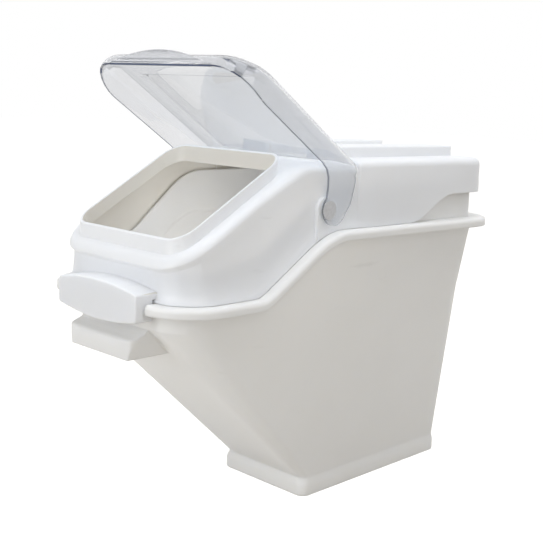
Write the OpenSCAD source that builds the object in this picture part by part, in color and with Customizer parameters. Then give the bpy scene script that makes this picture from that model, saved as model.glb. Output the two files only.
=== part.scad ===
// Shelf storage bin for rice and other dry goods.
// A tapered bin with a sloped front, a hood that lifts off its stepped rim,
// and a clear flip lid that turns on two studs in the sides of the hood.
// +Z is up, the front is towards -Y, and the origin lies on the shelf
// under the middle of the bin.

/* [Bin] */
// Length over everything, from the face of the grip to the rear handle rim
total_l = 568; // [500:1:640]
// Width of the bin's wall at the high rim
bin_w = 250; // [220:1:280]
// Height of the high rim, on which the rear of the hood sits
rim_h = 346; // [320:1:380]
// How far the front rim lies below the high rim
rim_drop = 69; // [55:1:80]
// Where the rim starts to rise, behind the front wall
rim_rise_start = 106; // [90:1:120]
// Slope of the rising part of the rim in degrees
rim_rise_a = 37.2; // [32:0.2:42]
// Thickness of the bin's wall and floor
bin_wall = 3; // [2:0.5:4.5]
// Width of the foot
foot_w = 146; // [130:1:180]
// Length of the foot
foot_l = 285; // [260:1:300]
// Height of the foot band
foot_h = 24; // [16:1:32]
// How far the wall stands back from the foot band
foot_step = 2.5; // [1:0.5:5]
// Height of the soft transition from the foot band to the wall
foot_blend_h = 10; // [4:0.5:12]
// Corner radius of the foot in plan
foot_r = 13; // [10:1:20]
// Corner radius of the front wall in plan
front_r = 45; // [36:1:56]
// Corner radius of the rear wall in plan
rear_r = 46; // [35:1:60]
// Height of the upright part of the front wall, below the front rim
front_wall_h = 30; // [26:1:45]
// Depth of the hollow under the foot
foot_hollow = 2.5; // [1:0.5:5]

/* [Rim] */
// How far the rim stands out from the wall
rim_out = 16; // [12:1:20]
// How far the rim stands out at the rear, where it is a handle
handle_out = 18; // [14:1:24]
// Height of the turned-down lip of the rim
rim_lip_h = 11; // [8:0.5:14]
// Thickness of the rim
rim_t = 2.8; // [2:0.2:4]
// Radius along the outer edge of the rim
rim_edge_r = 4.5; // [3:0.5:6]
// How far the upstand stands back from the wall
upstand_step = 5; // [4:0.5:8]
// Height of the upstand above the rim at the front
upstand_front_h = 35; // [28:1:37]
// Height of the upstand above the rim at the rear
upstand_rear_h = 48; // [42:1:56]

/* [Finger ledge] */
// Width of the ledge on the front wall, at its top edge
ledge_w = 112; // [90:1:124]
// How far each end of the ledge slants inwards towards the bottom
ledge_slant = 7; // [4:0.5:14]
// How far the ledge reaches in front of the upright wall
ledge_out = 24; // [18:1:26]
// Depth of the ledge's top edge below the front rim
ledge_drop = 42; // [34:1:46]
// Height of the ledge's face
ledge_h = 21; // [16:1:26]
// How far the ledge's face bows out in the middle
ledge_bow = 5; // [3:0.5:9]
// Corner radius of the ledge in plan
ledge_r = 14; // [8:1:20]
// Wall thickness of the ledge
ledge_wall = 3; // [2:0.5:4.5]

/* [Hood] */
// Thickness of the hood's wall
hood_wall = 3; // [2:0.5:4]
// Gap between the upstand and the hood
hood_fit = 0.5; // [0.3:0.1:1]
// Gap between the rim and the lower edge of the hood
hood_seat = 0.3; // [0.2:0.1:0.8]
// Height of the deck at the rear of the hood
deck_h = 424; // [412:1:440]
// Depth of the step from the deck down to the hinge shelf
deck_step = 6; // [3:0.5:10]
// How far the sides of the rear box stand out over the sides of the bin
box_out = 4.5; // [3:0.5:9]
// Corner radius of the rear box in plan
box_r = 40; // [30:1:55]
// Radius along the top edges of the rear box
box_edge_r = 9; // [5:0.5:14]
// Distance from the rear wall to the front of the rear box
box_l = 275.5; // [262:0.5:276]
// Distance behind the hinge line at which the hood's sides start to widen into the box
swell_start = 38.5; // [36:0.5:44]
// Length over which the hood's sides widen into the box
swell_l = 50; // [30:1:60]
// Slope of the hood's front in degrees
slope_a = 29.9; // [27:0.1:31]
// Height of the slope's shoulder at the front end of the collar
shoulder_h = 327.5; // [325:0.5:336]
// Radius along the shoulder
shoulder_r = 8; // [5:0.5:10]
// How far the bead stands out from the front wall
bead_out = 5.5; // [3:0.5:7]
// How far the front wall of the hood is hollowed under the bead
front_hollow = 1; // [0.4:0.1:1.4]
// How far the lower edge of the hood flares out over the rim
hood_flare = 4; // [1:0.5:6]
// Draft of the hood's walls from the lower edge to the top
hood_draft = 1; // [0.4:0.1:1.5]
// How far the lower edge of the hood is raised over the rear handle
rear_cut_h = 33; // [24:1:38]
// Distance from the rear wall at which the raised edge starts
rear_cut_start = 174; // [160:1:186]
// Length of the rise of that edge
rear_cut_l = 86; // [60:1:100]

/* [Collar] */
// Outer width of the collar round the opening
collar_w = 188; // [170:1:194]
// Outer length of the collar, seen from above
collar_l = 152; // [135:1:154]
// Distance from the front wall of the bin to the collar
collar_back = 8; // [7:0.5:14]
// Corner radius of the collar in plan
collar_r = 24; // [15:1:32]
// Height of the collar above the shoulder
collar_h = 15; // [10:0.5:17]
// Depth of the collar below the shoulder, inside the hood
collar_depth = 3.5; // [3:0.5:8]
// Thickness of the collar
collar_t = 3; // [2:0.5:4]

/* [Stacking rails] */
// Distance from the middle to the inner edge of a rail
rail_in = 33; // [30:1:44]
// Width of a rail
rail_w = 51; // [40:1:54]
// Height of a rail above the deck
rail_h = 13; // [8:0.5:16]
// Distance from the front of the rear box to the rails
rail_front = 11; // [8:1:20]
// Length of a rail
rail_l = 236; // [200:1:240]
// Edge radius of a rail
rail_r = 3; // [2:0.5:5]

/* [Grip] */
// Width of the grip
grip_w = 137; // [120:1:146]
// Distance from the grip's face to the bin's front wall
grip_d = 26; // [24:0.5:30]
// Height of the grip at its ends
grip_end_h = 29; // [24:0.5:32]
// Height of the grip in the middle
grip_mid_h = 43; // [36:0.5:46]
// Height of the grip's middle line above the front rim
grip_lift = -4; // [-6:0.5:-1]
// Thickness of the grip's wall
grip_wall = 3; // [2:0.5:4]
// Gap between each end of the grip and the rim, which is left out behind the grip
grip_gap = 1.5; // [1:0.1:2.5]
// Gap between the back of the grip and the bin's front wall
grip_clear = 4; // [2:0.5:6]

/* [Lid] */
// How far the lid's sides stand inside the sides of the rear box
lid_inset = 0.5; // [0.2:0.1:1.5]
// How far the lid reaches past the front of the collar, measured along the lid
lid_over = 17.5; // [14:0.5:24]
// Length of the lid behind the hinge line
lid_back = 16; // [12:0.5:20]
// Thickness of the lid
lid_t = 3; // [2:0.2:3.4]
// Distance from the hinge line to the lid's top face
lid_reach = 73.2; // [72.8:0.1:76]
// Distance from the hinge line to the lower edge of the side plates
lid_edge = 37; // [30:1:42]
// How far the lower edge runs up towards the front of the lid
lid_edge_rise = 10; // [4:0.5:12]
// Corner radius of the lid's front in plan
lid_r = 46; // [30:1:56]
// Radius of the folds between top and sides
lid_fold_r = 20; // [8:0.5:24]
// Length of the curved part at the front of the lid
lid_curve_l = 56; // [48:1:64]
// Radius of the curve with which the lid runs down to its front edge
lid_curve_r = 160; // [130:1:190]
// Angle of the lid above level when it stands open
open_a = 33; // [28:0.5:38]
// Angle of the lid below level when it is shut
shut_a = 28.5; // [26:0.5:29.5]
// Half the width of the thumb brim
brim_w = 84; // [70:1:94]
// Height of the thumb brim in the middle
brim_h = 15; // [10:0.5:18]
// Angle of the brim from the lid's top face
brim_a = 60; // [45:1:75]
// Height of the raised panel on the lid
panel_h = 0.8; // [0.4:0.1:1.5]
// Half the width of the raised panel
panel_w = 94; // [80:1:98]
// Corner radius of the raised panel
panel_r = 9; // [4:1:16]

/* [Hinge] */
// Distance from the front of the rear box to the hinge line
hinge_fwd = 53; // [47:0.5:58]
// Height of the hinge line
hinge_h = 370; // [367:0.5:373]
// Radius of the boss on the hood
boss_r = 15; // [12:0.5:17]
// Radius of the lid's stud
stud_r = 6; // [4:0.5:8]
// Gap round the stud in its bore
stud_gap = 0.1; // [0.05:0.05:0.2]
// Gap between the boss and the lid's arm
hinge_gap = 0.3; // [0.2:0.05:0.5]
// Radius of the round end of the lid's arm
hub_r = 14; // [11:0.5:16]
// How far the round cap stands out of the arm
cap_out = 0.8; // [0.4:0.1:1.5]

/* [Hidden] */

white = [0.93, 0.93, 0.92];
warm_white = [0.90, 0.89, 0.86];
clear = [0.80, 0.86, 0.92, 0.45];

// Number of steps in a plan corner and along a side of an outline
corner_n = 7;
dense_n = 14;
side_n = dense_n + 4;
half_n = 2 * corner_n + side_n;
edge_n = 4;
over = 1;

// Places along Y and heights that follow from the driving sizes
y_front = grip_d - total_l / 2;
y_rear = total_l / 2 - handle_out;
y_foot = y_rear - foot_l;
rim_lo = rim_h - rim_drop;
kink_h = rim_lo - front_wall_h;
rise_y = y_front + rim_rise_start;
hood_out = upstand_step - hood_fit - hood_wall;
hood_in = upstand_step - hood_fit;
box_w = bin_w + 2 * box_out;
box_y = y_rear - box_l;
box_rear = y_rear - 0.5;
cut_y = y_rear - rear_cut_start;
hinge_y = box_y - hinge_fwd;
shelf_h = deck_h - deck_step;
collar_y = y_front + collar_back;
rail_y = box_y + rail_front;
grip_y = -total_l / 2;
grip_h = rim_lo + grip_lift;
lid_w = box_w - 2 * lid_inset;
lid_front = hinge_y - collar_y + lid_over;
lid_flat = lid_front - lid_curve_l;
arm_out = lid_w / 2;
arm_in = arm_out - lid_t;
front_a = atan2(kink_h - foot_h, y_foot + foot_step - y_front);
wall_lift = bin_wall * tan((90 - front_a) / 2);

function mix(a, b, t) = a + (b - a) * t;
function unit(t) = min(1, max(0, t));
function smooth(t) = let(s = unit(t)) s * s * (3 - 2 * s);
function soft_min(a, b, k) = let(h = unit(0.5 + (b - a) / (2 * k))) mix(b, a, h) - k * h * (1 - h);

// Heights along the length: the rim, the lower edge of the hood, its top
function rim_z(y) =
    rim_lo + soft_min(-soft_min(0, -(y - rise_y) * tan(rim_rise_a), 5), rim_drop, 20);
function upstand_z(y) =
    rim_z(y) + mix(upstand_front_h, upstand_rear_h, smooth((y - y_front) / rim_rise_start - 0.2));
function skirt_z(y) = rim_z(y) + hood_seat + rear_cut_h * smooth((y - cut_y) / rear_cut_l);
function slope_z(y) = shoulder_h + (y - collar_y) * tan(slope_a);
function hood_z(y) = soft_min(slope_z(y), shelf_h, 8);

// Fractions of the way from a to b for the points along a side, dense from lo to hi
function side_steps(a, b, lo, hi) =
    concat([0], [for (k = [0:dense_n]) (mix(lo, hi, k / dense_n) - a) / (b - a)],
           [for (k = [1:3]) mix((hi - a) / (b - a), 1, k / 3)]);
rise_lo = rise_y - 12;
rise_hi = rise_y + rim_drop / tan(rim_rise_a) + 36;
bin_steps = side_steps(y_front + front_r, y_rear - rear_r, rise_lo, rise_hi);

// Point i of the right half of an outline, from front to rear, with its side divided by st
function outline(i, hw, yf, yr, rf, rr, st) =
    i <= corner_n
        ? let(a = 90 * i / corner_n - 90) [hw - rf + rf * cos(a), yf + rf + rf * sin(a)]
    : i < corner_n + side_n
        ? [hw, mix(yf + rf, yr - rr, st[i - corner_n])]
    : let(a = 90 * (i - corner_n - side_n) / corner_n)
        [hw - rr + rr * cos(a), yr - rr + rr * sin(a)];
function normal(i) =
    i <= corner_n ? let(a = 90 * i / corner_n - 90) [cos(a), sin(a)]
    : i < corner_n + side_n ? [1, 0]
    : let(a = 90 * (i - corner_n - side_n) / corner_n) [cos(a), sin(a)];

// Closes the right half of a ring with its mirror image
function whole(half) = concat(half, [for (i = [len(half) - 1:-1:0]) [-half[i].x, half[i].y, half[i].z]]);

// Solid through a stack of rings, each the same on both sides of X = 0
module loft(halves) {
    n = 2 * len(halves[0]);
    h = n / 2;
    m = len(halves);
    top = (m - 1) * n;
    points = [for (half = halves) each whole(half)];
    sides = [for (k = [0:m - 2], i = [0:n - 1])
        let(j = (i + 1) % n, a = k * n + i, b = k * n + j)
        each [[a, a + n, b], [b, a + n, b + n]]];
    floor_strip = [for (i = [0:h - 2])
        each [[i, i + 1, n - 1 - i], [i + 1, n - 2 - i, n - 1 - i]]];
    top_strip = [for (i = [0:h - 2])
        each [[top + i, top + n - 1 - i, top + i + 1],
              [top + i + 1, top + n - 1 - i, top + n - 2 - i]]];
    polyhedron(points, concat(sides, floor_strip, top_strip), convexity = 8);
}

// Outline of the bin's wall at height z, moved inwards by inset
function bin_hw(z) = mix(foot_w / 2 - foot_step, bin_w / 2, unit((z - foot_h) / (rim_h - foot_h)));
function bin_pt(i, z, inset) =
    let(t = unit((z - foot_h) / (kink_h - foot_h)))
    outline(i, bin_hw(z) - inset, mix(y_foot + foot_step, y_front, t) + inset, y_rear - inset,
            mix(foot_r, front_r, t) - inset, mix(foot_r, rear_r, t) - inset, bin_steps);
function foot_pt(i, inset) =
    outline(i, foot_w / 2 - inset, y_foot + inset, y_rear - inset, foot_r - inset, foot_r - inset,
            bin_steps);
function level(half, z) = [for (p = half) [p.x, p.y, z]];
function bin_ring(z, inset, lift = 0) = level([for (i = [0:half_n]) bin_pt(i, z, inset)], z + lift);
function foot_ring(z, inset) = level([for (i = [0:half_n]) foot_pt(i, inset)], z);
function foot_blend_ring(t) =
    level([for (i = [0:half_n]) mix(foot_pt(i, 0), bin_pt(i, foot_h, 0), smooth(t))],
          foot_h - (1 - t) * foot_blend_h);
rim_ys = [for (i = [0:half_n]) bin_pt(i, rim_h, 0).y];
function rim_pt(i, inset) = bin_pt(i, rim_z(rim_ys[i]), inset);
function rim_ring(inset, dz) =
    [for (i = [0:half_n]) let(p = rim_pt(i, inset)) [p.x, p.y, rim_z(rim_ys[i]) + dz]];
function upstand_ring(inset, dz) =
    [for (i = [0:half_n]) let(p = rim_pt(i, inset)) [p.x, p.y, upstand_z(rim_ys[i]) + dz]];

// The rim is left out where the hood's grip comes down in front of the bin
module rim_gap() {
    wide = grip_w / 2 + grip_gap;
    translate([-wide, grip_y, rim_lo - 2 * rim_lip_h])
        cube([2 * wide, y_front - 0.5 - grip_y, 3 * rim_lip_h]);
}

module bin_shell() {
    edge = 1.5;
    fillet = 6;
    difference() {
        union() {
            loft(concat([foot_ring(0, edge), foot_ring(edge, 0)],
                        [for (t = [0:0.25:1]) foot_blend_ring(t)],
                        [bin_ring(kink_h, 0), rim_ring(0, -rim_t / 2),
                         rim_ring(upstand_step, -rim_t / 2),
                         upstand_ring(upstand_step + hood_draft, 0)]));
            difference() {
                rim();
                rim_gap();
            }
        }
        loft([bin_ring(foot_hollow + bin_wall, bin_wall + fillet),
              bin_ring(foot_hollow + bin_wall + fillet / 3, bin_wall + fillet / 3),
              bin_ring(foot_hollow + bin_wall + fillet, bin_wall),
              bin_ring(foot_h, bin_wall, wall_lift), bin_ring(kink_h, bin_wall, wall_lift),
              rim_ring(bin_wall, -bin_wall - upstand_step),
              rim_ring(bin_wall + upstand_step, -bin_wall),
              upstand_ring(bin_wall + upstand_step + hood_draft, over)]);
        translate([0, 0, -over]) linear_extrude(foot_hollow + over)
            rounded([-foot_w / 2, y_foot], [foot_w / 2, y_rear], foot_r, 14);
    }
}

// Rounded rectangle between two corners, set in by d
module rounded(lo, hi, r, d = 0) {
    q = max(1, r - d);
    x = [lo.x + d + q, hi.x - d - q];
    y = [lo.y + d + q, hi.y - d - q];
    difference() {
        translate([lo.x + d, lo.y + d]) square([hi.x - lo.x - 2 * d, hi.y - lo.y - 2 * d]);
        for (i = [0, 1], j = [0, 1]) difference() {
            translate([x[i] + (i == 0 ? -q - over : 0), y[j] + (j == 0 ? -q - over : 0)])
                square(q + over);
            translate([x[i], y[j]]) circle(q, $fn = 64);
        }
    }
}

// The turned-down rim, swept round the wall along the stepped line
rim_arc = [for (k = [0:edge_n]) let(a = 90 - 90 * k / edge_n)
    [rim_edge_r * cos(a) - rim_edge_r, rim_edge_r * sin(a) - rim_edge_r]];
function rim_reach(y) = mix(rim_out, handle_out, smooth((y - y_rear + 2 * rear_r) / rear_r));
rim_root = -upstand_step - bin_wall / 2;
function rim_section(w) = concat([[rim_root, 0]], [for (p = rim_arc) [w + p.x, p.y]],
    [[w, -rim_lip_h], [w - rim_t, -rim_lip_h], [w - rim_t, -rim_t - 2],
     [w - rim_t - 2, -rim_t], [rim_root, -rim_t]]);
module rim() {
    half = [for (i = [0:half_n])
        let(p = rim_pt(i, 0), v = normal(i), z = rim_z(rim_ys[i]))
        [for (s = rim_section(rim_reach(rim_ys[i]))) [p.x + v.x * s.x, p.y + v.y * s.x, z + s.y]]];
    rows = concat(half, [for (i = [half_n:-1:0]) [for (q = half[i]) [-q.x, q.y, q.z]]]);
    n = len(rows);
    m = len(rows[0]);
    polyhedron([for (row = rows) each row],
        [for (i = [0:n - 1], k = [0:m - 1])
            let(i2 = (i + 1) % n, k2 = (k + 1) % m,
                a = i * m + k, b = i2 * m + k, c = i2 * m + k2, d = i * m + k2)
            each [[a, b, d], [b, c, d]]], convexity = 8);
}

// Hollow ledge under the front rim, open below for the fingers
module finger_ledge() {
    top = rim_lo - ledge_drop;
    low = top - ledge_h;
    face = y_front - ledge_out;
    back = mix(y_front, y_foot, 0.22);
    bow_r = (pow(ledge_w / 2, 2) + pow(ledge_bow, 2)) / (2 * ledge_bow);
    module block(d) {
        wide = ledge_w / 2 - d;
        intersection() {
            rotate([90, 0, 90]) linear_extrude(ledge_w - 2 * d, center = true)
                polygon([[y_front + 1, top + 11 - d], [y_front - 4, top + 6 - d],
                         [y_front - 12, top + 3 - d], [face + 6 + d, top + 1.5 - d],
                         [face + 2 + d, top - 0.5 - d], [face + d, top - 4 - d],
                         [face + 0.5 + d, top - 10], [face + 3.5 + d, low - (d > 0 ? over : 0)],
                         [back, low - (d > 0 ? over : 0)], [back, top + 11 - d]]);
            translate([0, 0, low - 2 * over]) linear_extrude(rim_lo - low) intersection() {
                translate([0, face + bow_r]) circle(bow_r - d, $fn = 360);
                rounded([-ledge_w / 2, face], [ledge_w / 2, back + ledge_r], ledge_r, d);
            }
            translate([0, back, 0]) rotate([90, 0, 0]) linear_extrude(back - face + over)
                polygon([[ledge_slant - wide, low - 2 * over], [wide - ledge_slant, low - 2 * over],
                         [wide, top], [wide, rim_lo], [-wide, rim_lo], [-wide, top]]);
        }
    }
    difference() {
        block(0);
        block(ledge_wall);
        bin_space(bin_wall / 2);
    }
}

// Everything inside the bin's wall, set in by d
module bin_space(d) {
    loft([bin_ring(foot_h, d), bin_ring(kink_h, d), rim_ring(d, 0)]);
}

module bin_body() color(warm_white) {
    bin_shell();
    finger_ledge();
}

// The hood's front body: its outline follows the bin's rim and ends in the rear box
hood_rear = box_y + 4 * shoulder_r;
hood_steps = side_steps(y_front + front_r, hood_rear - 2, rise_lo, rise_hi);
hood_ys = [for (i = [0:half_n]) outline(i, 1, y_front, hood_rear, front_r, 2, hood_steps).y];
function swell(y) = smooth((y - hinge_y - swell_start) / swell_l);
function hood_hw(y) = mix(bin_hw(rim_z(y)), box_w / 2 + hood_out - 0.3, swell(y));
function hood_pt(i, inset) =
    outline(i, hood_hw(hood_ys[i]) - inset, y_front + inset, hood_rear, front_r - inset, 2,
            hood_steps);
function facing(i) = max(0, -normal(i).y);
function bead(i) = bead_out * max(facing(i), 0.3 * (1 - smooth((hood_ys[i] - y_front) / collar_l)));
function hood_ring(inset, t, dz, hollow) =
    [for (i = [0:half_n])
        let(y = hood_ys[i], d = mix(inset, max(inset, hood_out), swell(y)),
            p = hood_pt(i, d + hollow * facing(i)), z = hood_z(p.y) - 2 * shoulder_r)
        [p.x, p.y, mix(skirt_z(y), z, t) + dz]];
function shoulder_ring(inset, r, a, dz) =
    [for (i = [0:half_n])
        let(p = hood_pt(i, inset - bead(i) + r * (1 - cos(a))))
        [p.x, p.y, hood_z(p.y) + dz - r * (1 - sin(a))]];
shoulder_steps = [for (k = [0:edge_n]) 90 * k / edge_n];

module hood_body() {
    loft(concat([hood_ring(hood_out - hood_flare, 0, 0, 0),
                 hood_ring(hood_out - hood_flare / 3, 0.15, 0, front_hollow / 3),
                 hood_ring(hood_out, 0.35, 0, front_hollow),
                 hood_ring(hood_out + hood_draft, 1, 0, front_hollow)],
                [for (a = shoulder_steps) shoulder_ring(hood_out + hood_draft, shoulder_r, a, 0)]));
}
module hood_space() {
    r = shoulder_r - hood_wall;
    loft(concat([hood_ring(hood_in, 0, -over, 0), hood_ring(hood_in + hood_draft, 1, 0, 0)],
                [for (a = shoulder_steps) shoulder_ring(hood_in + hood_draft, r, a, -hood_wall)]));
}

// The rear box, flush with the outside of the lid's arms
box_side = [box_y + 4, box_rear - box_r];
cut_side = [cut_y - 3, min(cut_y + rear_cut_l, box_side[1] - 12)];
function box_unit(y) = (y - box_side[0]) / (box_side[1] - box_side[0]);
box_steps = concat([0], [for (k = [1:4]) box_unit(mix(box_side[0], hinge_y + swell_start + swell_l, k / 4))],
                   [for (k = [0:dense_n - 4]) box_unit(mix(cut_side[0], cut_side[1], k / (dense_n - 4)))],
                   [for (k = [1:3]) mix(box_unit(cut_side[1]), 1, k / 3)]);
box_ys = [for (i = [0:half_n]) outline(i, 1, box_y, box_rear, 4, box_r, box_steps).y];
function box_hw(y) = mix(bin_w / 2, box_w / 2, swell(y));
function box_pt(i, inset) =
    outline(i, box_hw(box_ys[i]) - inset, box_y + inset, box_rear - inset, 4, box_r - inset, box_steps);
function box_skirt(inset, dz) =
    [for (i = [0:half_n]) let(p = box_pt(i, inset)) [p.x, p.y, skirt_z(p.y) + dz]];
function box_ring(inset, z) = level([for (i = [0:half_n]) box_pt(i, inset)], z);
function box_top(inset, r, z) =
    [for (a = shoulder_steps) box_ring(inset + r * (1 - cos(a)), z - r * (1 - sin(a)))];
module box_body() {
    loft(concat([box_skirt(0, 0)], box_top(hood_draft, box_edge_r, deck_h)));
}
module box_space() {
    loft(concat([box_skirt(hood_wall, -over)],
                box_top(hood_draft + hood_wall, box_edge_r - hood_wall, deck_h - hood_wall)));
}

// Collar round the opening: upright walls between two slopes
module collar_plan(d) {
    rounded([-collar_w / 2, collar_y], [collar_w / 2, collar_y + collar_l], collar_r, d);
}
module collar() {
    y = [collar_y - collar_t, collar_y + collar_l + collar_t];
    intersection() {
        translate([0, 0, kink_h]) linear_extrude(deck_h) difference() {
            collar_plan(0);
            collar_plan(collar_t);
        }
        rotate([90, 0, 90]) linear_extrude(collar_w + 2, center = true)
            polygon([[y[0], slope_z(y[0]) - collar_depth], [y[1], slope_z(y[1]) - collar_depth],
                     [y[1], slope_z(y[1]) + collar_h], [y[0], slope_z(y[0]) + collar_h]]);
    }
}

// One hollow stacking rail, on the +X side
module rail(d) {
    x = [rail_in + d, rail_in + rail_w - d];
    top = deck_h + rail_h - d;
    q = max(0.5, rail_r - d);
    intersection() {
        translate([0, rail_y + rail_l - d, 0]) rotate([90, 0, 0]) linear_extrude(rail_l - 2 * d)
            polygon(concat([[x[0], deck_h - box_edge_r], [x[1], deck_h - box_edge_r]],
                [for (k = [0:edge_n]) let(a = 90 * k / edge_n)
                    [x[1] - q + q * cos(a), top - q + q * sin(a)]],
                [for (k = [0:edge_n]) let(a = 90 + 90 * k / edge_n)
                    [x[0] + q + q * cos(a), top - q + q * sin(a)]]));
        translate([0, 0, deck_h - hood_wall - (d > 0 ? over : 0)]) linear_extrude(2 * rail_h)
            rounded([x[0], rail_y + d], [x[1], rail_y + rail_l - d], 2 * rail_r, 0);
    }
}

// Face of the grip, between two flat arcs
module grip_plan(d) {
    sag = (grip_mid_h - grip_end_h) / 2;
    r = (pow(grip_w / 2, 2) + pow(sag, 2)) / (2 * sag);
    intersection() {
        square([grip_w - 2 * d, grip_mid_h], center = true);
        translate([0, r - grip_mid_h / 2]) circle(r - d, $fn = 360);
        translate([0, grip_mid_h / 2 - r]) circle(r - d, $fn = 360);
    }
}
module grip_block(d, y0, y1) {
    translate([0, y1, grip_h]) rotate([90, 0, 0]) linear_extrude(y1 - y0) grip_plan(d);
}
module grip() {
    back = y_front + 3 * hood_wall;
    difference() {
        grip_block(0, grip_y, back);
        grip_block(grip_wall, grip_y + grip_wall, y_front);
        translate([-grip_w, y_front - grip_clear, grip_h - grip_mid_h])
            cube([2 * grip_w, total_l, rim_lo + grip_clear - grip_h + grip_mid_h]);
    }
}

module each_side() {
    children();
    mirror([1, 0, 0]) children();
}

// Side view of the boss for the stud, with a pad that runs down to the rim
module boss() {
    pad = [for (k = [-4:4]) hinge_y + k * boss_r / 4];
    translate([hinge_y, hinge_h]) circle(boss_r, $fn = 96);
    polygon(concat([for (y = pad) [y, skirt_z(y)]], [[pad[8], hinge_h], [pad[0], hinge_h]]));
}

module hood() color(white) {
    difference() {
        union() {
            difference() {
                union() {
                    hood_body();
                    box_body();
                    grip();
                    each_side() rail(0);
                }
                hood_space();
                box_space();
                each_side() rail(hood_wall);
                translate([0, 0, kink_h]) linear_extrude(deck_h) collar_plan(collar_t);
            }
            collar();
            each_side() translate([bin_w / 2 - hood_in, 0, 0]) rotate([90, 0, 90])
                linear_extrude(arm_in - hinge_gap - bin_w / 2 + hood_in) boss();
        }
        each_side() translate([bin_w / 2 - 4 * hood_wall, hinge_y, hinge_h]) rotate([0, 90, 0])
            cylinder(h = 8 * hood_wall, r = stud_r + stud_gap, $fn = 64);
    }
}

// The lid, with its hinge line on X and its top level, before it is swung open
lid_steps = side_steps(lid_r - lid_front, lid_back - 1, lid_r - lid_front + 2, 12 - lid_flat / 2);
function lid_pt(i, inset, rear) =
    outline(i, lid_w / 2 - inset, -lid_front + inset, rear, lid_r - inset, 1, lid_steps);
function lid_top(y) =
    let(s = max(0, -y - lid_flat)) lid_reach - lid_curve_r + sqrt(pow(lid_curve_r, 2) - s * s);
function lid_low(y) = lid_edge + lid_edge_rise * smooth((-y - lid_flat) / lid_curve_l);
function lid_round(y) = min(lid_fold_r, 0.85 * (lid_top(y) - lid_low(y)));
function lid_rim_ring(inset, rear, dz) =
    [for (i = [0:half_n]) let(p = lid_pt(i, inset, rear)) [p.x, p.y, lid_low(p.y) + dz]];
function lid_fold_ring(d, a, rear) =
    [for (i = [0:half_n])
        let(r = max(1, lid_round(lid_pt(i, 0, rear).y) - d), p = lid_pt(i, d + r * (1 - cos(a)), rear))
        [p.x, p.y, lid_top(p.y) - d - r * (1 - sin(a))]];
fold_steps = [for (k = [0:5]) 18 * k];

module lid_shell() {
    difference() {
        loft(concat([lid_rim_ring(0, lid_back, 0)],
                    [for (a = fold_steps) lid_fold_ring(0, a, lid_back)]));
        loft(concat([lid_rim_ring(lid_t, lid_back + 5, -lid_edge / 2)],
                    [for (a = fold_steps) lid_fold_ring(lid_t, a, lid_back + 5)]));
    }
}

// Side view of the arm that runs down to the hinge
arm_end_r = hub_r + 5;
arm_end = [8, 6];
module arm() {
    polygon(concat([[-lid_edge - 24, lid_edge], [-lid_edge - 4, lid_edge], [-30, lid_edge - 2],
                    [-22, lid_edge - 8], [-16, lid_edge - 17]],
        [for (a = [170:10:370]) arm_end + arm_end_r * [cos(a), sin(a)]],
        [[28, 24], [24, 38], [20, 49], [lid_back + 1, lid_reach - lid_fold_r]],
        [[-lid_edge - 24, lid_reach - lid_fold_r]]));
}

// Eyebrow-shaped brim along the front edge, for the thumb
module brim() {
    r = (pow(brim_w, 2) + pow(brim_h, 2)) / (2 * brim_h);
    translate([0, lid_t - lid_front, lid_low(-lid_front) + 0.2 * lid_t]) rotate([-brim_a, 0, 0])
        translate([0, 0, -lid_t / 2]) linear_extrude(lid_t - 0.5) intersection() {
            translate([0, r - brim_h - 1]) circle(r, $fn = 360);
            translate([-brim_w, -brim_h - 2]) square([2 * brim_w, brim_h + 3]);
        }
}

module flip_lid() color(clear)
    translate([0, hinge_y, hinge_h]) rotate([-open_a, 0, 0]) {
        lid_shell();
        brim();
        translate([0, 0, lid_reach - 1]) linear_extrude(1 + panel_h)
            rounded([-panel_w, -lid_flat], [panel_w, lid_back / 2], panel_r);
        each_side() {
            translate([arm_in, 0, 0]) rotate([90, 0, 90]) linear_extrude(lid_t) arm();
            translate([arm_in + lid_t / 2, 0, 0]) rotate([0, 90, 0])
                cylinder(h = lid_t / 2 + cap_out, r = hub_r - 3, $fn = 64);
            translate([bin_w / 2 - hood_in + hinge_gap, 0, 0]) rotate([0, 90, 0])
                cylinder(h = arm_in + 1 - bin_w / 2 + hood_in - hinge_gap, r = stud_r, $fn = 64);
        }
    }

bin_body();
hood();
flip_lid();
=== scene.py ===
"""Looks of a dry food storage bin: moulded bin, stackable hood and clear flip lid."""

import math

import bmesh
import bpy
from bpy.props import FloatProperty, FloatVectorProperty, PointerProperty
from mathutils import Matrix, Vector


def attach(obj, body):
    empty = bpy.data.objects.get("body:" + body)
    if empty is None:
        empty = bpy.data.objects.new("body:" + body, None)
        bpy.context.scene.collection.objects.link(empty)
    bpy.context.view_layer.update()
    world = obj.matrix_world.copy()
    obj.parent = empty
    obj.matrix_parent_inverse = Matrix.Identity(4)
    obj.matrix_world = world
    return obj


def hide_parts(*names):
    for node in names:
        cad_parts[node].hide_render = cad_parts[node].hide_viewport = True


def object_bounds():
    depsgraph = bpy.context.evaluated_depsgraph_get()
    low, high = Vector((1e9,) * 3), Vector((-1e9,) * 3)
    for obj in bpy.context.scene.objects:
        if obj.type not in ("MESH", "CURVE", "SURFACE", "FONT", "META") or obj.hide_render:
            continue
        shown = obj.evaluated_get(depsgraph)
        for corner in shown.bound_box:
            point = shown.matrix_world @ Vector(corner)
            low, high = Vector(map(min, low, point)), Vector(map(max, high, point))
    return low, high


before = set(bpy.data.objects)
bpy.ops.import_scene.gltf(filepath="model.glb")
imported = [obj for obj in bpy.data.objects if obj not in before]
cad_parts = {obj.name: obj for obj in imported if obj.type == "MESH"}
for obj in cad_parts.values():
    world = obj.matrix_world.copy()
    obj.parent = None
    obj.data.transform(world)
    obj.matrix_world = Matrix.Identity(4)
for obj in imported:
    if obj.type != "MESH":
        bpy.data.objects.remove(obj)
CAD_LOW, CAD_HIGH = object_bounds()

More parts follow.
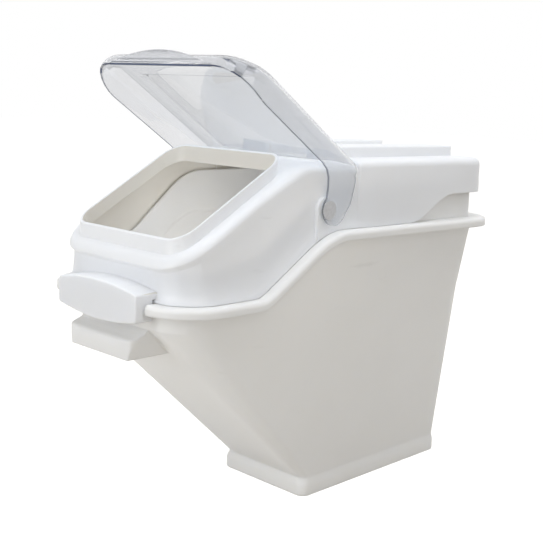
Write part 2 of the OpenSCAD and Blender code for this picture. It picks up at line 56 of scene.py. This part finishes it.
bl_info = {
    "name": "Dry Food Bin Looks",
    "version": (1, 0, 0),
    "blender": (4, 5, 0),
    "location": "View3D > Sidebar > Food Bin",
    "description": "Finishes, light and camera for a moulded storage bin with a clear flip lid",
    "category": "Object",
}

MM = 0.001

# The sockets of a colour mix and of a number mix go by number: their names aren't unique
COLOUR_A, COLOUR_B, COLOUR_OUT = 6, 7, 2
NUMBER_A, NUMBER_B, NUMBER_OUT = 2, 3, 0

# Opaque plastic: its slow mottle, its scuffs and the light that a wall lets through
MOTTLE_MM = 90
SCUFF_MM = 26
SCUFF_STRETCH = (1.0, 0.45, 2.2)
SCUFF_STARTS, SCUFF_FULL = 0.68, 0.8
SCUFF_SHARE = 0.4
SCUFF_SHADE = 0.84
WALL_GLOW = 0.5
WALL_GLOW_COLOUR = (1.0, 0.95, 0.86)
WALL_GLOW_DEPTH = 8 * MM

# Clear sheet: how unevenly its scratches lie, and the depth from which rays go straight through
HAZE_LEAST, HAZE_MOST = 0.8, 1.2
LAST_BENT_RAY = 6.5

# Meshes: what counts as one point, as one flat face, as a corner to round and as a sharp edge
SAME_POINT = 0.1 * MM
SAME_POINT_AFTER_ROUNDING = 0.005 * MM
FLAT_ANGLE = math.radians(0.4)
CORNER_ANGLE = math.radians(24)
SHARP_ANGLE = math.radians(32)

# Bin: the box that holds the top of its upstand, measured in from the CAD box
UPSTAND_SIDE = CAD_HIGH[0] - 22.5 * MM
UPSTAND_FRONT = CAD_LOW[1] + 21.5 * MM
UPSTAND_REAR = CAD_HIGH[1] - 34 * MM
UPSTAND_LOWEST = CAD_LOW[2] + 280 * MM
UPSTAND_FACING = 0.5
UPSTAND_RADIUS = 1.3 * MM

# Hood: the middle of its hollow, and the front wall, bosses and step where its inner faces end;
# these inner faces get the painted shade
HOLLOW_MIDDLE = Vector((0, CAD_LOW[1] + 114 * MM, CAD_LOW[2] + 360 * MM))
INNER_FACING = 0.2
INNER_FRONT = CAD_LOW[1] + 22 * MM
BOSS_SIDE = CAD_HIGH[0] - 27 * MM
BOSS_FACING = 0.7
STEP_FRONT = CAD_LOW[1] + 264 * MM
STEP_LOWEST = CAD_LOW[2] + 400 * MM
STEP_FACING = 0.9

# Hood: the corners at the grip's ends and the edges of its front face, and their radii
GRIP_DEPTH = 20 * MM
GRIP_CORNER_SIDE = 68 * MM
GRIP_CORNER_RUN = 15 * MM
GRIP_CORNER_RADIUS = 2.6 * MM
GRIP_FACE_DEPTH = 0.1 * MM
GRIP_FACE_RADIUS = 3.2 * MM

# Lid: its finishes in the order of the piece's materials, and where each of them is found
SHEET, ARMS, SIDE_EDGE, FRONT_EDGE, HUBS = range(5)
HUB_DEPTH = 0.3 * MM
FRONT_DEPTH = 12 * MM
ARM_SIDE = CAD_HIGH[0] - 25 * MM
NARROWEST_EDGE, WIDEST_EDGE = 1.5 * MM, 3.4 * MM
FRONT_EDGE_FACING = 0.4
EDGE_CORNER = math.radians(60)
EDGE_CORNER_SHARE = 0.6
LID_RADIUS = 0.3 * MM

# Stage: the places, sizes and colours of its lamps, the floor and the camera's sensor
AIM = (0, 0, 0.25)
KEY_PLACE, SIDE_PLACE, TOP_PLACE = (-0.3, -2.6, 0.9), (2.1, -0.5, 1.3), (0.3, 0.2, 2.4)
LAMP_SIZE, TOP_LAMP_SIZE = 1.6, 2.0
HOLLOW_LAMP_PLACE, HOLLOW_LAMP_RADIUS = (0, -0.06, 0.32), 0.06
WHITE, COOL_WHITE = "FFFFFF", "F8FBFF"
FLOOR_HALF = 12
IMAGE_PX = 543
SENSOR_MM = 36


# ---------------------------------------------------------------- colours and nodes


def linear(hex_colour):
    """Linear red, green, blue and alpha 1 of an sRGB hex colour."""
    parts = [int(hex_colour[i : i + 2], 16) / 255 for i in (0, 2, 4)]
    return [c / 12.92 if c <= 0.04045 else ((c + 0.055) / 1.055) ** 2.4 for c in parts] + [1.0]


def add_node(tree, kind, links=None, **settings):
    """One node of a kind: settings are its attributes or input values, links its inputs' sources."""
    node = tree.nodes.new(kind)
    for key, value in settings.items():
        if hasattr(node, key):
            setattr(node, key, value)
        else:
            node.inputs[key.replace("_", " ")].default_value = value
    for socket, source in (links or {}).items():
        tree.links.new(source, node.inputs[socket])
    return node


def new_material(name):
    """An empty node material and its tree."""
    material = bpy.data.materials.new(name)
    material.use_nodes = True
    material.node_tree.nodes.clear()
    return material, material.node_tree


def looked_at(tree):
    """1 for a ray that is seen straight, in a gloss or through the lid, and 0 for a ray of light."""
    ray = add_node(tree, "ShaderNodeLightPath").outputs
    seen = ray["Is Camera Ray"]
    for kind in ("Is Glossy Ray", "Is Transmission Ray"):
        links = {0: seen, 1: ray[kind]}
        seen = add_node(tree, "ShaderNodeMath", links, operation="MAXIMUM").outputs[0]
    return seen


# ---------------------------------------------------------------- materials


def moulded_plastic(name, colour, shade, roughness, grain_mm, grain_depth_mm, corner_mm):
    """Opaque moulded plastic: a faint mottle, scuffs, a fine spark-eroded grain and soft corners."""
    material, tree = new_material(name)
    place = add_node(tree, "ShaderNodeTexCoord").outputs["Object"]
    mottle = add_node(
        tree, "ShaderNodeTexNoise", {"Vector": place}, Scale=1 / (MOTTLE_MM * MM), Detail=3.0
    )
    tint = add_node(tree, "ShaderNodeMix", {"Factor": mottle.outputs["Fac"]}, data_type="RGBA")
    tint.inputs[COLOUR_A].default_value = colour
    tint.inputs[COLOUR_B].default_value = shade
    # Scuffs: short faint smears where other bins and scoops have rubbed
    along = add_node(tree, "ShaderNodeMapping", {"Vector": place}, Scale=SCUFF_STRETCH)
    rubbed = add_node(
        tree,
        "ShaderNodeTexNoise",
        {"Vector": along.outputs["Vector"]},
        Scale=1 / (SCUFF_MM * MM),
        Detail=5.0,
    )
    scuff = add_node(
        tree,
        "ShaderNodeMapRange",
        {"Value": rubbed.outputs["Fac"]},
        From_Min=SCUFF_STARTS,
        From_Max=SCUFF_FULL,
        To_Max=SCUFF_SHARE,
    )
    worn = add_node(
        tree,
        "ShaderNodeMix",
        {"Factor": scuff.outputs["Result"], COLOUR_A: tint.outputs[COLOUR_OUT]},
        data_type="RGBA",
    )
    worn.inputs[COLOUR_B].default_value = [SCUFF_SHADE * c for c in shade[:3]] + [1.0]
    # The real grain is too fine to show in a render, so it is drawn coarser
    grain = add_node(
        tree, "ShaderNodeTexNoise", {"Vector": place}, Scale=1 / (grain_mm * MM), Detail=2.0
    )
    corner = add_node(tree, "ShaderNodeBevel", samples=6, Radius=corner_mm * MM)
    bump = add_node(
        tree,
        "ShaderNodeBump",
        {"Height": grain.outputs["Fac"], "Normal": corner.outputs["Normal"]},
        Strength=0.35,
        Distance=grain_depth_mm * MM,
    )
    # A 3 mm wall lets some of the light through, so hollows are never dark
    surface = add_node(
        tree,
        "ShaderNodeBsdfPrincipled",
        {"Base Color": worn.outputs[COLOUR_OUT], "Normal": bump.outputs["Normal"]},
        Roughness=roughness,
        IOR=1.5,
        Subsurface_Weight=WALL_GLOW,
        Subsurface_Radius=WALL_GLOW_COLOUR,
        Subsurface_Scale=WALL_GLOW_DEPTH,
    )
    add_node(tree, "ShaderNodeOutputMaterial", {"Surface": surface.outputs["BSDF"]})
    return material


def clear_polycarbonate(name, tint, haze, haze_share, mottle_mm=45, pass_on=0.5):
    """Clear moulded polycarbonate: glossy, hazy with fine scratches, and blue along its length.

    The haze has a colour and a share of the surface, which varies over patches of mottle_mm.
    It passes the share pass_on of its light to the other side and gives the rest back.
    """
    material, tree = new_material(name)
    clear = add_node(
        tree,
        "ShaderNodeBsdfPrincipled",
        Roughness=0.03,
        IOR=1.585,
        Base_Color=tint,
        Transmission_Weight=1.0,
    )
    # Shadow rays and diffuse rays go straight through, as light does through a 3 mm clear sheet,
    # and so do rays that have bounced about inside the sheet, or the edges would go black
    ray = add_node(tree, "ShaderNodeLightPath").outputs
    late = add_node(tree, "ShaderNodeMath", {0: ray["Ray Depth"]}, operation="GREATER_THAN")
    late.inputs[1].default_value = LAST_BENT_RAY
    straight = late.outputs[0]
    for kind in ("Is Shadow Ray", "Is Diffuse Ray"):
        links = {0: straight, 1: ray[kind]}
        straight = add_node(tree, "ShaderNodeMath", links, operation="MAXIMUM").outputs[0]
    through = add_node(tree, "ShaderNodeBsdfTransparent", Color=linear("F6F8FA"))
    sheet = add_node(
        tree,
        "ShaderNodeMixShader",
        {0: straight, 1: clear.outputs["BSDF"], 2: through.outputs["BSDF"]},
    )
    # Scratches scatter some of the light, unevenly; on the lid's edge faces the same haze carries
    # painted shade
    place = add_node(tree, "ShaderNodeTexCoord").outputs["Object"]
    uneven = add_node(
        tree, "ShaderNodeTexNoise", {"Vector": place}, Scale=1 / (mottle_mm * MM), Detail=4.0
    )
    share = add_node(
        tree,
        "ShaderNodeMapRange",
        {"Value": uneven.outputs["Fac"]},
        To_Min=haze_share * HAZE_LEAST,
        To_Max=haze_share * HAZE_MOST,
    )
    front = add_node(tree, "ShaderNodeBsdfDiffuse", Color=haze)
    behind = add_node(tree, "ShaderNodeBsdfTranslucent", Color=haze)
    film = add_node(
        tree, "ShaderNodeMixShader", {1: front.outputs["BSDF"], 2: behind.outputs["BSDF"]}
    )
    film.inputs[0].default_value = pass_on
    both = add_node(
        tree,
        "ShaderNodeMixShader",
        {0: share.outputs["Result"], 1: sheet.outputs["Shader"], 2: film.outputs["Shader"]},
    )
    # The blue shows only along the sheet, where the light has a long way through it
    depth = add_node(tree, "ShaderNodeVolumeAbsorption", Color=linear("7088B8"), Density=4.0)
    add_node(
        tree,
        "ShaderNodeOutputMaterial",
        {"Surface": both.outputs["Shader"], "Volume": depth.outputs["Volume"]},
    )
    return material


# ---------------------------------------------------------------- meshes


def piece_from_mesh(name, shape, body, materials):
    """A finished object from a bmesh: smooth but for its sharp edges, riding on a CAD body."""
    mesh = bpy.data.meshes.new(name)
    shape.to_mesh(mesh)
    shape.free()
    mesh.shade_smooth()
    mesh.set_sharp_from_angle(angle=SHARP_ANGLE)
    for material in materials:
        mesh.materials.append(material)
    piece = bpy.data.objects.new(name, mesh)
    bpy.context.scene.collection.objects.link(piece)
    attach(piece, body)
    return piece


def merged_copy(node):
    """A CAD node's mesh as a bmesh, with its doubles merged and its flat areas made one face."""
    shape = bmesh.new()
    shape.from_mesh(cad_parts[node].data)
    bmesh.ops.remove_doubles(shape, verts=shape.verts, dist=SAME_POINT)
    bmesh.ops.dissolve_limit(
        shape,
        angle_limit=FLAT_ANGLE,
        verts=shape.verts,
        edges=shape.edges,
        delimit={"NORMAL"},
    )
    return shape


def mark_faces(shape, chosen):
    """Gives each face the material whose number a test returns."""
    for face in shape.faces:
        face.material_index = int(chosen(face))


def round_edges(shape, radius, chosen, clamp=True):
    """Rounds the outer corners that a test of an edge's middle and the edge itself picks."""
    edges = [
        edge
        for edge in shape.edges
        if edge.is_manifold
        and edge.is_convex
        and edge.calc_face_angle() > CORNER_ANGLE
        and chosen((edge.verts[0].co + edge.verts[1].co) / 2, edge)
    ]
    bmesh.ops.bevel(
        shape,
        geom=edges,
        offset=radius,
        offset_type="OFFSET",
        segments=4,
        profile=0.5,
        affect="EDGES",
        material=-1,
        clamp_overlap=clamp,
    )


def soften(piece, radius, segments=3):
    """Rounds the sharp edges of a moulded piece."""
    bevel = piece.modifiers.new("edge radius", "BEVEL")
    bevel.width = radius
    bevel.segments = segments
    bevel.limit_method = "ANGLE"
    bevel.angle_limit = SHARP_ANGLE
    bevel.harden_normals = True
    # The swept rings have short edges here and there, which would hold back every radius
    bevel.use_clamp_overlap = False
    # Where two roundings meet on a short edge, the bevel leaves faces without a width
    weld = piece.modifiers.new("no slivers", "WELD")
    weld.merge_threshold = SAME_POINT_AFTER_ROUNDING


# ---------------------------------------------------------------- lamps


def area_lamp(name, place, size, power, colour):
    """A soft square lamp that points from its place at the bin."""
    data = bpy.data.lights.new(name, "AREA")
    data.shape, data.size, data.energy = "SQUARE", size, power
    data.color = linear(colour)[:3]
    lamp = bpy.data.objects.new(name, data)
    bpy.context.scene.collection.objects.link(lamp)
    lamp.location = place
    lamp.rotation_mode = "QUATERNION"
    lamp.rotation_quaternion = (Vector(AIM) - Vector(place)).to_track_quat("-Z", "Y")
    return lamp


# ---------------------------------------------------------------- settings


class FoodBinPlastic(bpy.types.PropertyGroup):
    bin_colour: FloatVectorProperty(
        name="Bin colour",
        description="Colour of the bin's plastic",
        size=4,
        min=0,
        max=1,
        subtype="COLOR",
        default=linear("F3F2F0"),
    )
    hood_colour: FloatVectorProperty(
        name="Hood colour",
        description="Colour of the hood's plastic",
        size=4,
        min=0,
        max=1,
        subtype="COLOR",
        default=linear("F5F6F8"),
    )
    lid_tint: FloatVectorProperty(
        name="Lid tint",
        description="Tint of the light that comes through the lid's top",
        size=4,
        min=0,
        max=1,
        subtype="COLOR",
        default=linear("C9CACC"),
    )
    edge_radius: FloatProperty(
        name="Edge radius",
        description="Radius of the bin's moulded edges",
        default=0.45 * MM,
        min=0,
        unit="LENGTH",
    )
    seat_radius: FloatProperty(
        name="Seat radius",
        description="Radius of the hood's edges, which has to stay clear of the seat under it",
        default=0.2 * MM,
        min=0,
        unit="LENGTH",
    )
    open_angle: FloatProperty(
        name="Open angle",
        description="How far the lid stands open at rest",
        default=math.radians(33),
        subtype="ANGLE",
    )


class FoodBinStage(bpy.types.PropertyGroup):
    camera_place: FloatVectorProperty(
        name="Camera place",
        description="Where the camera stands",
        subtype="TRANSLATION",
        unit="LENGTH",
        default=(0.846846, -0.896708, 0.492911),
    )
    azimuth: FloatProperty(
        name="Azimuth",
        description="Direction of view, turned from +Y towards -X",
        default=math.radians(43.675),
        subtype="ANGLE",
    )
    pitch: FloatProperty(
        name="Pitch",
        description="How far the camera looks down",
        default=math.radians(9.963),
        subtype="ANGLE",
    )
    roll: FloatProperty(
        name="Roll",
        description="Turn of the camera about its own axis",
        default=math.radians(2.608),
        subtype="ANGLE",
    )
    focal_px: FloatProperty(
        name="Focal length",
        description="Focal length in pixels of an image 543 pixels wide",
        default=991.783,
    )
    shift_px: FloatVectorProperty(
        name="Shift",
        description="How far the optical axis stands from the image's middle, in pixels",
        size=2,
        default=(3.903, -1.520),
    )
    key_power: FloatProperty(
        name="Key lamp",
        description="Power of the large lamp at the front",
        default=29.0,
        unit="POWER",
    )
    top_power: FloatProperty(
        name="Top lamp",
        description="Power of the large lamp overhead",
        default=36.0,
        unit="POWER",
    )
    side_power: FloatProperty(
        name="Side lamp",
        description="Power of the large lamp at the right",
        default=9.5,
        unit="POWER",
    )
    hollow_power: FloatProperty(
        name="Light in the hollow",
        description="Power of the light that comes through the walls",
        default=0.26,
        unit="POWER",
    )
    sky_level: FloatProperty(
        name="Sky level",
        description="Strength of the even light from all round",
        default=0.29,
    )
    floor_lift: FloatProperty(
        name="Floor lift",
        description="How much whiter the floor looks than it is lit",
        default=0.92,
    )


# ---------------------------------------------------------------- operators


class FOODBIN_OT_bin_body(bpy.types.Operator):
    """Dress the moulded bin with its stepped rim and finger ledge"""

    bl_idname = "foodbin.bin_body"
    bl_label = "Bin Body"

    def execute(self, context):
        settings = context.scene.food_bin_plastic
        # Polypropylene from a tool with a matt grain: a warm white satin with soft corners
        plastic = moulded_plastic(
            "bin polypropylene, moulded",
            settings.bin_colour,
            linear("EEEDEA"),
            roughness=0.42,
            grain_mm=0.9,
            grain_depth_mm=0.05,
            corner_mm=3.5,
        )
        shape = merged_copy("bin_body")

        def upstand_top(at, edge):
            inside = abs(at.x) < UPSTAND_SIDE and UPSTAND_FRONT < at.y < UPSTAND_REAR
            at_top = any(face.normal.z > UPSTAND_FACING for face in edge.link_faces)
            return inside and at.z > UPSTAND_LOWEST and at_top

        round_edges(shape, UPSTAND_RADIUS, upstand_top)
        piece = piece_from_mesh("bin_shell", shape, "bin", (plastic,))
        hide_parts("bin_body")
        soften(piece, settings.edge_radius)
        return {"FINISHED"}


class FOODBIN_OT_hood(bpy.types.Operator):
    """Dress the hood with its collar, rails, grip and hinge bosses"""

    bl_idname = "foodbin.hood"
    bl_label = "Hood"

    def execute(self, context):
        settings = context.scene.food_bin_plastic
        # The same plastic from a finer tool: a cooler and glossier white with crisper corners
        plastic = moulded_plastic(
            "hood polypropylene, moulded",
            settings.hood_colour,
            linear("F2F3F5"),
            roughness=0.36,
            grain_mm=0.9,
            grain_depth_mm=0.04,
            corner_mm=1.6,
        )
        # Painted shade: inside, the plastic is a little rougher, and is coloured darker and warmer
        # to stand in for the shade between its walls
        inner = moulded_plastic(
            "hood polypropylene, inner face with painted shade",
            linear("DEDBD4"),
            linear("DAD6CF"),
            roughness=0.44,
            grain_mm=0.9,
            grain_depth_mm=0.05,
            corner_mm=1.6,
        )
        shape = merged_copy("hood")

        # Picks the faces that look into the hollow, which get the painted shade
        def gets_painted_shade(face):
            centre = face.calc_center_median()
            to_middle = HOLLOW_MIDDLE - centre
            inward = face.normal.dot(to_middle) > INNER_FACING * to_middle.length
            sideways = abs(face.normal.x)
            on_boss = abs(centre.x) > BOSS_SIDE and sideways < BOSS_FACING
            on_step = centre.y > STEP_FRONT and centre.z > STEP_LOWEST and sideways < STEP_FACING
            return inward and centre.y > INNER_FRONT and not on_boss and not on_step

        mark_faces(shape, gets_painted_shade)
        front = min(vert.co.y for vert in shape.verts)

        def grip_corner(at, edge):
            run = edge.verts[0].co - edge.verts[1].co
            at_end = at.y < front + GRIP_DEPTH and abs(at.x) > GRIP_CORNER_SIDE
            return at_end and abs(run.y) > GRIP_CORNER_RUN

        def grip_face(at, edge):
            return all(vert.co.y < front + GRIP_FACE_DEPTH for vert in edge.verts)

        round_edges(shape, GRIP_CORNER_RADIUS, grip_corner, clamp=False)
        round_edges(shape, GRIP_FACE_RADIUS, grip_face)
        piece = piece_from_mesh("hood_shell", shape, "hood", (plastic, inner))
        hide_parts("hood")
        soften(piece, settings.seat_radius)
        return {"FINISHED"}


class FOODBIN_OT_flip_lid(bpy.types.Operator):
    """Dress the clear lid with its brim, side arms and hinge hubs"""

    bl_idname = "foodbin.flip_lid"
    bl_label = "Flip Lid"

    def execute(self, context):
        settings = context.scene.food_bin_plastic
        scratches = linear("EEEFF1")
        # Moulded in a polished tool: the top is clear and a little grey, with a sharp gloss
        clear = clear_polycarbonate(
            "lid polycarbonate, clear", settings.lid_tint, scratches, haze_share=0.11
        )
        # The arms and the front are held and rubbed more: lighter, with more haze
        arms = clear_polycarbonate(
            "lid polycarbonate, arms", linear("ECECED"), scratches, haze_share=0.14
        )
        # The hubs' outer faces are frosted: a milky white that hides most of what is behind
        hubs = clear_polycarbonate(
            "lid polycarbonate, frosted hub",
            linear("F0F1F4"),
            linear("E4E4E6"),
            haze_share=0.8,
            mottle_mm=3,
            pass_on=0.0,
        )
        # Painted shade: the edge faces are coloured grey at the sides, standing in for the look of
        # light that has run along inside the sheet and comes out at its edges
        side_edge = clear_polycarbonate(
            "lid polycarbonate, side edge, painted shade",
            linear("B4B9C6"),
            linear("B8BBC4"),
            haze_share=0.7,
            pass_on=0.2,
        )
        # and they are painted a dark deep blue at the front, standing in for light that has come the
        # whole length of the lid
        front_edge = clear_polycarbonate(
            "lid polycarbonate, front edge, painted shade", linear("7080A0"), linear("5C6888"), haze_share=0.55
        )
        shape = merged_copy("flip_lid")

        outmost = max(vert.co.x for vert in shape.verts)
        foremost = min(vert.co.y for vert in shape.verts)
        # The lid's own downward direction as it stands open: its front edge faces that way
        down = Vector((0, -math.sin(settings.open_angle), -math.cos(settings.open_angle)))

        def finish_of(face):
            lengths = [side.calc_length() for side in face.edges]
            width = face.calc_area() / max(lengths)
            cornered = sum(
                side.calc_length()
                for side in face.edges
                if side.calc_face_angle() > EDGE_CORNER
            )
            middle = face.calc_center_median()
            aside = abs(middle.x)
            ahead = middle.y < foremost + FRONT_DEPTH
            if aside > outmost - HUB_DEPTH:
                return HUBS
            if ahead and width < WIDEST_EDGE and face.normal.dot(down) > FRONT_EDGE_FACING:
                return FRONT_EDGE
            between_corners = cornered > EDGE_CORNER_SHARE * sum(lengths)
            if NARROWEST_EDGE < width < WIDEST_EDGE and between_corners:
                return SIDE_EDGE
            return ARMS if ahead or aside > ARM_SIDE else SHEET

        mark_faces(shape, finish_of)
        finishes = (clear, arms, side_edge, front_edge, hubs)
        piece = piece_from_mesh("lid_shell", shape, "lid", finishes)
        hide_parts("flip_lid")
        soften(piece, LID_RADIUS, segments=2)
        return {"FINISHED"}


class FOODBIN_OT_stage(bpy.types.Operator):
    """Set the floor, the light and the camera"""

    bl_idname = "foodbin.stage"
    bl_label = "Floor, Light and Camera"

    def execute(self, context):
        settings = context.scene.food_bin_stage
        self.make_floor(settings)
        self.make_light(context, settings)
        self.make_camera(context, settings)
        context.scene.view_settings.view_transform = "Standard"
        return {"FINISHED"}

    def make_floor(self, settings):
        """A wide floor of matt paper, which looks white where it is seen."""
        shape = bmesh.new()
        bmesh.ops.create_grid(shape, x_segments=1, y_segments=1, size=FLOOR_HALF)
        mesh = bpy.data.meshes.new("studio_floor")
        shape.to_mesh(mesh)
        shape.free()
        floor = bpy.data.objects.new("studio_floor", mesh)
        bpy.context.scene.collection.objects.link(floor)
        material, tree = new_material("floor paper, matt white")
        lift = add_node(tree, "ShaderNodeMath", {0: looked_at(tree)}, operation="MULTIPLY")
        lift.inputs[1].default_value = settings.floor_lift
        paper = add_node(tree, "ShaderNodeBsdfDiffuse", Color=linear("C8C3BB"))
        glow = add_node(
            tree, "ShaderNodeEmission", {"Strength": lift.outputs[0]}, Color=linear(WHITE)
        )
        both = add_node(
            tree,
            "ShaderNodeAddShader",
            {0: paper.outputs["BSDF"], 1: glow.outputs["Emission"]},
        )
        add_node(tree, "ShaderNodeOutputMaterial", {"Surface": both.outputs["Shader"]})
        mesh.materials.append(material)

    def make_light(self, context, settings):
        """An even sky, which looks white where it is seen, and the lamps."""
        world = bpy.data.worlds.new("even studio light")
        world.use_nodes = True
        tree = world.node_tree
        tree.nodes.clear()
        level = add_node(tree, "ShaderNodeMix", {"Factor": looked_at(tree)}, data_type="FLOAT")
        level.inputs[NUMBER_A].default_value = settings.sky_level
        level.inputs[NUMBER_B].default_value = 1.0
        strength = level.outputs[NUMBER_OUT]
        sky = add_node(
            tree, "ShaderNodeBackground", {"Strength": strength}, Color=linear(WHITE)
        )
        add_node(tree, "ShaderNodeOutputWorld", {"Surface": sky.outputs["Background"]})
        context.scene.world = world
        area_lamp("key lamp", KEY_PLACE, LAMP_SIZE, settings.key_power, COOL_WHITE)
        area_lamp("side lamp", SIDE_PLACE, LAMP_SIZE, settings.side_power, WHITE)
        self.light_hollow(context, settings)
        top = area_lamp("top lamp", TOP_PLACE, TOP_LAMP_SIZE, settings.top_power, COOL_WHITE)
        top.visible_glossy = False

    def light_hollow(self, context, settings):
        """A soft lamp in the hollow, for the light that comes in through the walls all round."""
        data = bpy.data.lights.new("light through the walls", "POINT")
        data.energy, data.shadow_soft_size = settings.hollow_power, HOLLOW_LAMP_RADIUS
        lamp = bpy.data.objects.new(data.name, data)
        lamp.location = HOLLOW_LAMP_PLACE
        lamp.visible_camera = lamp.visible_glossy = lamp.visible_transmission = False
        context.scene.collection.objects.link(lamp)

    def make_camera(self, context, settings):
        """The camera, set from its place, its three angles, its focal length and its shift."""
        azimuth, pitch, roll = settings.azimuth, settings.pitch, settings.roll
        ahead = Vector(
            (
                -math.sin(azimuth) * math.cos(pitch),
                math.cos(azimuth) * math.cos(pitch),
                -math.sin(pitch),
            )
        )
        level_right = Vector((math.cos(azimuth), math.sin(azimuth), 0))
        level_up = level_right.cross(ahead)
        right = math.cos(roll) * level_right + math.sin(roll) * level_up
        up = -math.sin(roll) * level_right + math.cos(roll) * level_up
        data = bpy.data.cameras.new("camera")
        data.sensor_width = SENSOR_MM
        data.lens = settings.focal_px / IMAGE_PX * SENSOR_MM
        data.shift_x = -settings.shift_px[0] / IMAGE_PX
        data.shift_y = settings.shift_px[1] / IMAGE_PX
        camera = bpy.data.objects.new("camera", data)
        context.scene.collection.objects.link(camera)
        turn = Matrix((right, up, -ahead)).transposed()
        camera.matrix_world = Matrix.Translation(settings.camera_place) @ turn.to_4x4()
        context.scene.camera = camera


class FOODBIN_PT_panel(bpy.types.Panel):
    """Lists the makers of the bin's pieces"""

    bl_label = "Food Bin"
    bl_space_type = "VIEW_3D"
    bl_region_type = "UI"
    bl_category = "Food Bin"

    def draw(self, context):
        for maker in MAKERS:
            self.layout.operator(maker.bl_idname)


MAKERS = (FOODBIN_OT_bin_body, FOODBIN_OT_hood, FOODBIN_OT_flip_lid, FOODBIN_OT_stage)
CLASSES = (FoodBinPlastic, FoodBinStage, *MAKERS, FOODBIN_PT_panel)


def register():
    for cls in CLASSES:
        bpy.utils.register_class(cls)
    bpy.types.Scene.food_bin_plastic = PointerProperty(type=FoodBinPlastic)
    bpy.types.Scene.food_bin_stage = PointerProperty(type=FoodBinStage)


def unregister():
    del bpy.types.Scene.food_bin_stage
    del bpy.types.Scene.food_bin_plastic
    for cls in reversed(CLASSES):
        bpy.utils.unregister_class(cls)


def main():
    register()
    bpy.ops.foodbin.bin_body()
    bpy.ops.foodbin.hood()
    bpy.ops.foodbin.flip_lid()
    bpy.ops.foodbin.stage()


if __name__ == "__main__":
    main()
